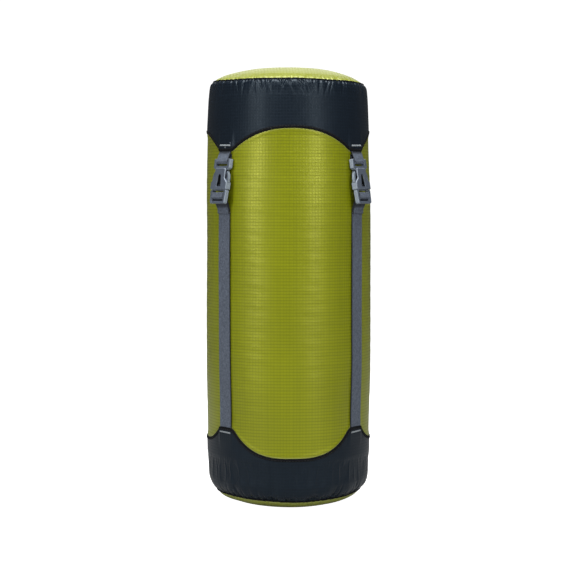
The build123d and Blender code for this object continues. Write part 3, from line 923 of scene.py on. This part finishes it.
class Shader:
    """A material's node tree, with short ways to add nodes."""

    def __init__(self, name):
        self.material = bpy.data.materials.new(name)
        self.material.use_nodes = True
        self.tree = self.material.node_tree
        self.surface = self.tree.nodes["Principled BSDF"]

    def link(self, socket, value):
        if isinstance(value, bpy.types.NodeSocket):
            self.tree.links.new(value, socket)
        else:
            socket.default_value = (*value, 1.0) if socket.type == "RGBA" else value

    def math(self, operation, *values):
        node = self.tree.nodes.new("ShaderNodeMath")
        node.operation = operation
        for socket, value in zip(node.inputs, values):
            self.link(socket, value)
        return node.outputs[0]

    def times(self, first, *others):
        for other in others:
            first = self.math("MULTIPLY", first, other)
        return first

    def split(self, vector):
        """The three numbers of a vector socket."""
        node = self.tree.nodes.new("ShaderNodeSeparateXYZ")
        self.tree.links.new(vector, node.inputs[0])
        return node.outputs

    def own(self, kind):
        """The piece's own "Object" place in metres, or its own "Normal"."""
        return self.tree.nodes.new("ShaderNodeTexCoord").outputs[kind]

    def flat(self, x_scale=1.0, y_scale=1.0):
        """The piece's UVs in millimetres, as (u, v), each times its scale."""
        uv = self.tree.nodes.new("ShaderNodeUVMap")
        uv.uv_map = "UVMap"
        u, v, _ = self.split(uv.outputs[0])
        return self.times(u, x_scale), self.times(v, y_scale)

    def noise(self, vector, scale, detail):
        """Noise between 0 and 1."""
        node = self.tree.nodes.new("ShaderNodeTexNoise")
        node.inputs["Scale"].default_value = scale
        node.inputs["Detail"].default_value = detail
        self.tree.links.new(vector, node.inputs["Vector"])
        return node.outputs[0]

    def stretched_noise(self, u, v, scale=1.0, detail=2.0):
        join = self.tree.nodes.new("ShaderNodeCombineXYZ")
        self.link(join.inputs[0], u)
        self.link(join.inputs[1], v)
        return self.noise(join.outputs[0], scale, detail)

    def place_noise(self, scale, detail=3.0):
        return self.noise(self.own("Object"), scale, detail)

    def tone(self, noise, low, high):
        """The middle of a noise's range, turned into low to high."""
        return self.ranged(noise, 0.3, 0.7, low, high, smooth=False)

    def wave(self, coordinate, pitch, kind="SINE"):
        """A wave between 0 and 1."""
        return self.math("MULTIPLY_ADD", self.math(kind, self.times(coordinate, tau / pitch)), 0.5, 0.5)

    def facing(self):
        """How squarely a buckle's surface faces straight out from the bag, 0 to 1."""
        ways, place = self.split(self.own("Normal")), self.split(self.own("Object"))
        x, y = [self.times(ways[k], self.math("SIGN", place[k])) for k in range(2)]
        turn = radians(STRAP_ANGLE)
        return self.math("ABSOLUTE", self.math("ADD", self.times(x, sin(turn)), self.times(y, cos(turn))))

    def recess(self):
        """How deep inside a buckle a point lies, behind its front wall and between its sides, 0 to 1."""
        place = [self.times(number, 1 / MM) for number in self.split(self.own("Object"))]
        x, y = [self.math("ABSOLUTE", number) for number in place[:2]]
        height = place[2]
        turn = radians(STRAP_ANGLE)
        outward = self.math("ADD", self.times(x, sin(turn)), self.times(y, cos(turn)))
        across = self.math("SUBTRACT", self.times(x, cos(turn)), self.times(y, sin(turn)))
        radius, top = BUCKLE_TOP
        inward = self.times(self.math("SUBTRACT", radius, outward), cos(BUCKLE_TILT))
        down = self.times(self.math("SUBTRACT", top, height), sin(BUCKLE_TILT))
        in_socket = self.times(self.ranged(height, *SOCKET_LOW_END), self.ranged(height, *SOCKET_HIGH_END))
        depth = self.math("MULTIPLY_ADD", in_socket, SOCKET_RECESS, self.math("ADD", inward, down))
        between = self.ranged(self.math("ABSOLUTE", across), *RECESS_SIDES)
        return self.times(self.ranged(depth, *RECESS_DEPTH), between, self.ranged(height, *RECESS_LOW_END))

    def value(self, name):
        """A number stored on the piece's points."""
        node = self.tree.nodes.new("ShaderNodeAttribute")
        node.attribute_name = name
        return node.outputs["Fac"]

    def ranged(self, value, low, high, to_low=0.0, to_high=1.0, smooth=True):
        node = self.tree.nodes.new("ShaderNodeMapRange")
        node.interpolation_type = "SMOOTHSTEP" if smooth else "LINEAR"
        for key, number in (("From Min", low), ("From Max", high), ("To Min", to_low), ("To Max", to_high)):
            node.inputs[key].default_value = number
        self.link(node.inputs["Value"], value)
        return node.outputs[0]

    def lines(self, coordinate, pitch, share):
        """1 on a line every pitch, share of the pitch wide, and 0 between lines."""
        place = self.math("FRACT", self.math("DIVIDE", coordinate, pitch))
        off = self.math("ABSOLUTE", self.math("SUBTRACT", place, 0.5))
        return self.ranged(off, share / 2, share / 2 * 0.45)

    def mix(self, share, first, second):
        node = self.tree.nodes.new("ShaderNodeMix")
        node.data_type = "RGBA"
        self.link(node.inputs["Factor"], share)
        self.link(node.inputs[6], first)
        self.link(node.inputs[7], second)
        return node.outputs[2]

    def scaled(self, colour, factor):
        """A colour made lighter or darker by a factor socket."""
        node = self.tree.nodes.new("ShaderNodeVectorMath")
        node.operation = "SCALE"
        self.link(node.inputs[0], colour)
        self.link(node.inputs["Scale"], factor)
        return node.outputs[0]

    def bump(self, height, distance, strength):
        node = self.tree.nodes.new("ShaderNodeBump")
        node.inputs["Strength"].default_value = strength
        node.inputs["Distance"].default_value = distance
        self.tree.links.new(height, node.inputs["Height"])
        self.tree.links.new(node.outputs[0], self.surface.inputs["Normal"])

    def finish(self, colour, roughness, **fixed):
        self.link(self.surface.inputs["Base Color"], colour)
        self.link(self.surface.inputs["Roughness"], roughness)
        for key, number in fixed.items():
            self.surface.inputs[key.replace("_", " ")].default_value = number
        return self.material


def weave(shader, u, v, pitch):
    """The over and under of a plain weave, between 0 and 1."""
    both = shader.times(*[shader.math("SINE", shader.times(way, tau / pitch)) for way in (u, v)])
    return shader.math("MULTIPLY_ADD", both, 0.5, 0.5)


def ripstop(name, colour, roughness, row_dark, column_dark, edge_painted_highlight=None, seam_painted_highlight=None,
            seam_gloss=0, **fixed):
    """Thin coated nylon with thicker threads every few millimetres both ways, and uneven yarn. It can
    have a lighter line of painted highlight beside a yoke's edge, a broken one beside a seam, and more gloss
    near a seam."""
    shader = Shader(name)
    u, v = shader.flat()
    rows = shader.lines(v, RIPSTOP_PITCH, 0.42)
    columns = shader.lines(u, RIPSTOP_PITCH, 0.42)
    yarn_across = shader.stretched_noise(*shader.flat(0.012, 0.55))
    yarn_up = shader.stretched_noise(*shader.flat(0.30, 0.006))
    tone = shader.times(
        shader.tone(yarn_across, 0.955, 1.045),
        shader.tone(yarn_up, 0.95, 1.05),
        shader.tone(shader.place_noise(14.0, 2.0), 0.95, 1.05),
        shader.math("MULTIPLY_ADD", rows, row_dark, 1.0),
        shader.math("MULTIPLY_ADD", columns, column_dark, 1.0),
    )
    paint = shader.scaled(colour, tone)
    # painted highlight: a lighter line on the cloth just beside a yoke's edge
    if edge_painted_highlight:
        away = shader.value("from_edge")
        line = shader.times(shader.ranged(away, 2.3, 1.3), shader.ranged(away, 0.2, 0.7), 0.5)
        paint = shader.mix(line, paint, edge_painted_highlight)
    # painted highlight: a broken lighter line on a round panel just inside its seam
    if seam_painted_highlight:
        broken = shader.ranged(shader.stretched_noise(u, v, 0.45), 0.35, 0.65, 0.35, 1.0)
        line = shader.times(shader.ranged(shader.value("from_seam"), 5.0, 1.0), broken, 0.55)
        paint = shader.mix(line, paint, seam_painted_highlight)
    thread = shader.math("MAXIMUM", rows, columns)
    height = shader.math("MULTIPLY_ADD", weave(shader, u, v, 0.55), 0.35, thread)
    shader.bump(shader.math("ADD", height, shader.times(yarn_across, 0.5)), 0.00005, 0.7)
    rough = shader.ranged(thread, 0, 1, roughness, roughness + 0.08, smooth=False)
    if seam_gloss:
        near = shader.ranged(shader.value("from_seam"), 16, 5)
        rough = shader.math("MULTIPLY_ADD", near, -seam_gloss, rough)
    return shader.finish(paint, rough, **fixed)


def tape(name, colour, pitch, roughness):
    """Woven tape with fine cross ribs."""
    shader = Shader(name)
    u, v = shader.flat()
    rib = shader.wave(v, pitch)
    tone = shader.times(shader.ranged(rib, 0, 1, 0.75, 1.2, smooth=False),
                        shader.tone(shader.place_noise(220.0), 0.85, 1.15))
    shader.bump(shader.math("MULTIPLY_ADD", weave(shader, u, v, 0.6), 0.4, rib), 0.00008, 0.8)
    return shader.finish(shader.scaled(colour, tone), roughness, Specular_IOR_Level=0.12)


def webbing_material(name, colour):
    """A herringbone of yarns with lighter tops and dark gaps, with painted shade at the webbing's two edges
    and where it runs inside a buckle's hollows.
    """
    shader = Shader(name)
    u, v = shader.flat()
    yarn = shader.wave(shader.math("ADD", v, shader.math("PINGPONG", u, 0.8)), 0.95)
    height = shader.math("MULTIPLY_ADD", yarn, 0.7, shader.wave(u, 1.6, "COSINE"))
    half = WEB_WIDTH / 2
    from_side = shader.math("PINGPONG", shader.math("ADD", u, half), half)
    tone = shader.times(
        shader.ranged(height, 0.1, 1.5, 0.62, 1.26, smooth=False),
        shader.tone(shader.place_noise(500.0), 0.72, 1.28),
        # painted shade: the webbing darkens towards both edges, standing in for the shadow lines along them
        shader.ranged(from_side, 0.25, 0.75, 0.12, 1.0),
        # painted shade: the webbing darkens where it runs inside a buckle's hollows
        shader.math("MULTIPLY_ADD", shader.recess(), -0.7, 1.0),
    )
    shader.bump(height, 0.0002, 0.8)
    return shader.finish(shader.scaled(colour, tone), 0.72, Specular_IOR_Level=0.3)


def thread_material(name, colour):
    """Twisted polyester thread."""
    shader = Shader(name)
    twist = shader.place_noise(2400.0, 1.0)
    shader.bump(twist, 0.0001, 0.6)
    return shader.finish(shader.scaled(colour, shader.tone(twist, 0.8, 1.15)), 0.55, Specular_IOR_Level=0.3)


def moulded_plastic(name, colour, highlight_colour):
    """Moulded acetal: fine grain, matt dark faces, lighter edges and sides of painted highlight, and hollows
    darkened with painted shade.
    """
    shader = Shader(name)
    grain = shader.place_noise(1500.0, 2.0)
    face = shader.scaled(colour, shader.tone(shader.place_noise(55.0), 0.93, 1.07))
    # painted highlight: faces turned away from straight out from the bag are lightened
    side = shader.times(shader.ranged(shader.facing(), 0.96, 0.72), 0.6)
    paint = shader.mix(side, face, highlight_colour)
    # painted shade: a buckle's hollows, behind its front wall and between its sides, are darkened towards
    # SHADE
    paint = shader.mix(shader.times(shader.recess(), 0.9), paint, SHADE)
    shader.bump(grain, 0.00004, 0.6)
    return shader.finish(paint, shader.tone(grain, 0.36, 0.48), Specular_IOR_Level=0.6)


def metal(name, colour):
    """Dull nickel with faint tumbling marks."""
    shader = Shader(name)
    marks = shader.place_noise(700.0, 4.0)
    shader.bump(marks, 0.00003, 0.5)
    paint = shader.scaled(colour, shader.tone(marks, 0.85, 1.1))
    return shader.finish(paint, shader.tone(marks, 0.25, 0.42), Metallic=1.0)


green = ripstop("ripstop_green", GREEN, 0.33, -0.30, -0.12, edge_painted_highlight=GREEN_PAINTED_HIGHLIGHT,
                Specular_IOR_Level=1.0, Specular_Tint=GREEN_GLOSS)
green_panel = ripstop("ripstop_green_panel", GREEN, 0.36, -0.10, -0.07, seam_painted_highlight=GREEN_PAINTED_HIGHLIGHT,
                      Specular_IOR_Level=1.0, Specular_Tint=PANEL_GLOSS)
green_plain = ripstop("ripstop_green_inner", GREEN, 0.42, -0.12, -0.08,
                      Specular_IOR_Level=0.7, Specular_Tint=GREEN_GLOSS)
dark = ripstop("ripstop_dark", DARK, 0.38, 0.18, 0.10, seam_gloss=0.12,
               Specular_IOR_Level=0.23, Specular_Tint=DARK_GLOSS)
black_tape = tape("binding_black", BLACK, 0.7, 0.8)
black_cord = tape("piping_black", BLACK, 0.9, 0.7)
slate = webbing_material("webbing_slate", SLATE)
pale_thread = thread_material("thread_pale", PALE_THREAD)
dark_thread = thread_material("thread_dark", DARK_THREAD)
green_thread = thread_material("thread_green", GREEN_THREAD)
plastic = moulded_plastic("acetal_grey", ACETAL, ACETAL_PAINTED_HIGHLIGHT)
nickel = metal("nickel", NICKEL)


# Putting the pieces together


def keep(piece, material, slot, body, *nodes):
    """Gives a piece its material, and lets it move with a body in place of CAD nodes. The slot argument is
    not used.
    """
    piece.data.materials.append(material)
    if body:
        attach(piece, body)
    if nodes:
        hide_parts(*nodes)
    return piece


def squashed(piece, body):
    """Lets a piece move with a body, and gives it a mesh of its own."""
    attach(piece, body)
    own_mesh(piece)


def build_end(part, end, tip, edge, body, tack_height, tails):
    panel_piece = keep(round_panel(f"{part}_panel", end), green_panel, "green_ripstop", body, f"{part}_disc")
    band = keep(yoke(f"{part}_band", end, tip, edge), dark, "dark_nylon", body, f"{part}_yoke")
    widths = end.along_at(edge(around(720)))
    keep(binding(f"{part}_band_tape", end, tip, edge), black_tape, "binding", body, f"{part}_yoke_binding")
    keep(binding_stitches(f"{part}_tape_stitches", end, tip, edge), dark_thread, "binding", body)
    keep(piping(f"{part}_piping_cord", end), black_cord, "binding", body, f"{part}_piping")
    tacks = bar_tacks(f"{part}_tack_threads", end, tip, tack_height, tails)
    keep(tacks, pale_thread, "thread", body, f"{part}_bar_tacks")


build_end("base", base_end, BASE_TIP, base_edge, "sack", BASE_TACKS, ())
build_end("lid", lid_end, LID_TIP, lid_edge, "lid", LID_TACKS, (1,))

for part, body, low, high, rows, seam_rows in (
    ("low", "sack", BAG_LOW, LOW_JOIN, 44, 30),
    ("middle", None, LOW_JOIN, HIGH_JOIN, 150, 120),
    ("high", "mouth", HIGH_JOIN, BAG_HIGH, 44, 30),
):
    seam_low = max(low, SEAM_LOW)
    cloth = bag_part(f"bag_cloth_{part}", low, high, rows)
    strip = seam_strip(f"bag_seam_{part}", seam_low, high, seam_rows)
    stitches = seam_stitches(f"bag_seam_stitches_{part}", seam_low, high)
    for piece, material in ((cloth, green), (strip, green_plain), (stitches, green_thread)):
        keep(piece, material, "green_ripstop", body)
        if part == "middle":
            squashed(piece, "sack")
    if part == "middle":
        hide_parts("body_tube")
        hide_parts("body_side_seam")

collar = keep(mouth_cloth("mouth_cloth"), green_plain, "green_ripstop", "mouth", "neck_collar")
keep(mouth_channel("mouth_channel"), green_plain, "green_ripstop", "mouth", "drawcord_channel")

for number, angle in STRAPS.items():
    line = strap_line(angle)
    strap = keep(webbing(f"strap_web_{number}", line, angle), slate, "webbing", None, f"strap_{number}")
    squashed(strap, "sack")
    end_web = webbing(f"strap_end_web_{number}", strap_end_line(line[-1, 0]), angle)
    keep(end_web, slate, "webbing", f"plug_{number}", f"strap_end_{number}")
    loop = webbing(f"lid_loop_web_{number}", lid_loop_line(angle), angle)
    keep(loop, slate, "webbing", "lid", f"lid_loop_{number}")

FINISHES = {"buckle_": plastic, "latch_": plastic, "eyelet_": nickel}
for name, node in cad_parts.items():
    for start, finish in FINISHES.items():
        if name.startswith(start):
            for place in node.material_slots:
                place.material = finish


# Stage, light and camera


def aim(obj, target):
    obj.rotation_euler = (Vector(target) - obj.location).to_track_quat("-Z", "Y").to_euler()


def view_place(angle, distance, height):
    turn = radians(angle)
    return Vector((distance * sin(turn), -distance * cos(turn), height))


def area_light(name, angle, distance, height, size, power):
    data = bpy.data.lights.new(name, "AREA")
    data.shape = "RECTANGLE"
    data.size, data.size_y = size
    data.energy = power
    lamp = add_object(name, data)
    lamp.location = view_place(angle, distance, height)
    aim(lamp, LIGHT_AIM)


def stage():
    """A plain white floor, and a white surrounding that lights the sack less than it shows."""
    shader = Shader("floor_white")
    rough = shader.tone(shader.place_noise(3.0), 0.85, 0.95)
    shader.finish((0.45, 0.45, 0.45), rough, Specular_IOR_Level=0.1)
    shader.surface.inputs["Emission Color"].default_value = (1, 1, 1, 1)
    path = shader.tree.nodes.new("ShaderNodeLightPath")
    glow = shader.ranged(path.outputs["Is Camera Ray"], 0, 1, FLOOR_GLOW, SEEN_GLOW, smooth=False)
    shader.link(shader.surface.inputs["Emission Strength"], glow)
    corners = [(x * FLOOR_HALF, y * FLOOR_HALF, FLOOR_TOP) for x, y in ((-1, -1), (1, -1), (1, 1), (-1, 1))]
    floor = finish_mesh("floor", corners, [[0, 1, 2, 3]], smooth=False)
    floor.data.materials.append(shader.material)

    world = bpy.data.worlds.new("studio")
    bpy.context.scene.world = world
    world.use_nodes = True
    nodes, links = world.node_tree.nodes, world.node_tree.links
    background = nodes["Background"]
    background.inputs["Color"].default_value = (1, 1, 1, 1)
    path = nodes.new("ShaderNodeLightPath")
    strength = nodes.new("ShaderNodeMapRange")
    strength.inputs["To Min"].default_value = WORLD_GLOW
    strength.inputs["To Max"].default_value = SEEN_GLOW
    links.new(path.outputs["Is Camera Ray"], strength.inputs["Value"])
    links.new(strength.outputs[0], background.inputs["Strength"])


def camera():
    data = bpy.data.cameras.new("camera")
    data.lens = LENS
    data.sensor_width = 36
    data.clip_start = 0.05
    eye = add_object("camera", data)
    eye.location = view_place(CAMERA_ANGLE, CAMERA_DISTANCE, CAMERA_HEIGHT)
    aim(eye, (CAMERA_SIDE, 0, CAMERA_AIM))
    bpy.context.scene.camera = eye


camera()
stage()
area_light("key_left", CAMERA_ANGLE - 44, 1.2, 0.78, (0.15, 1.3), 8.6)
area_light("key_right", CAMERA_ANGLE + 36, 1.2, 0.78, (0.13, 1.3), 7.2)
area_light("top", 0, 0.3, 1.6, (0.9, 0.9), 25)
area_light("back", 180, 1.5, 1.3, (1.2, 1.2), 6.5)
area_light("front_top", CAMERA_ANGLE, 1.2, 1.25, (0.7, 0.3), 3.0)
bpy.context.scene.view_settings.view_transform = "Standard"
